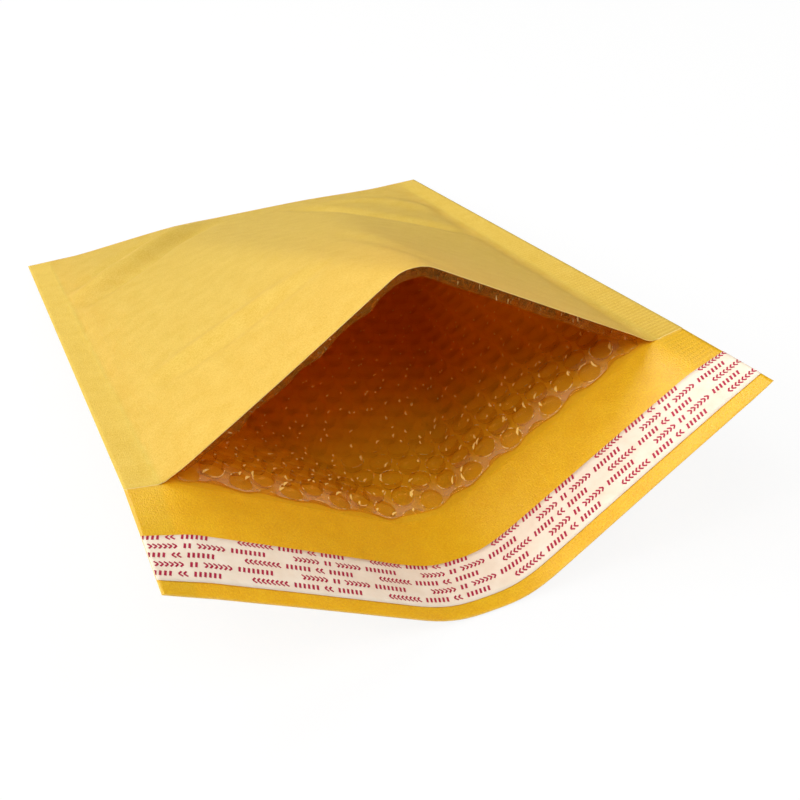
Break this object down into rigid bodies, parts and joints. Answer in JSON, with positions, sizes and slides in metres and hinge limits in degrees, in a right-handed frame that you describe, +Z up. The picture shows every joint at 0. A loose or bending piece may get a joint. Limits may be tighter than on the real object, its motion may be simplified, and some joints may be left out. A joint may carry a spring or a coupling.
{
  "type": "padded envelope",
  "caption": "Open padded mailing envelope of golden paper lined with bubble film, lying with its mouth gaping and its flap, with a covered glue strip, turned out.",
  "frame": {"origin": "on the table, under the middle of the envelope's box", "axes": "+Z up from the table, +Y towards the folded end, -Y out of the mouth and along the flap, +X to the right as seen from the mouth"},
  "size_m": [0.22, 0.3306, 0.0892],
  "materials": {
    "paper": "golden brown wrapping paper, satin",
    "film": "clear bubble film",
    "glue": "tacky pale glue",
    "liner": "smooth cream release paper with crimson print"
  },
  "bodies": {
    "root": {"paper_pouch": "paper", "bubble_liner": "film", "glue_strip": "glue", "release_liner": "liner"}
  },
  "joints": []
}
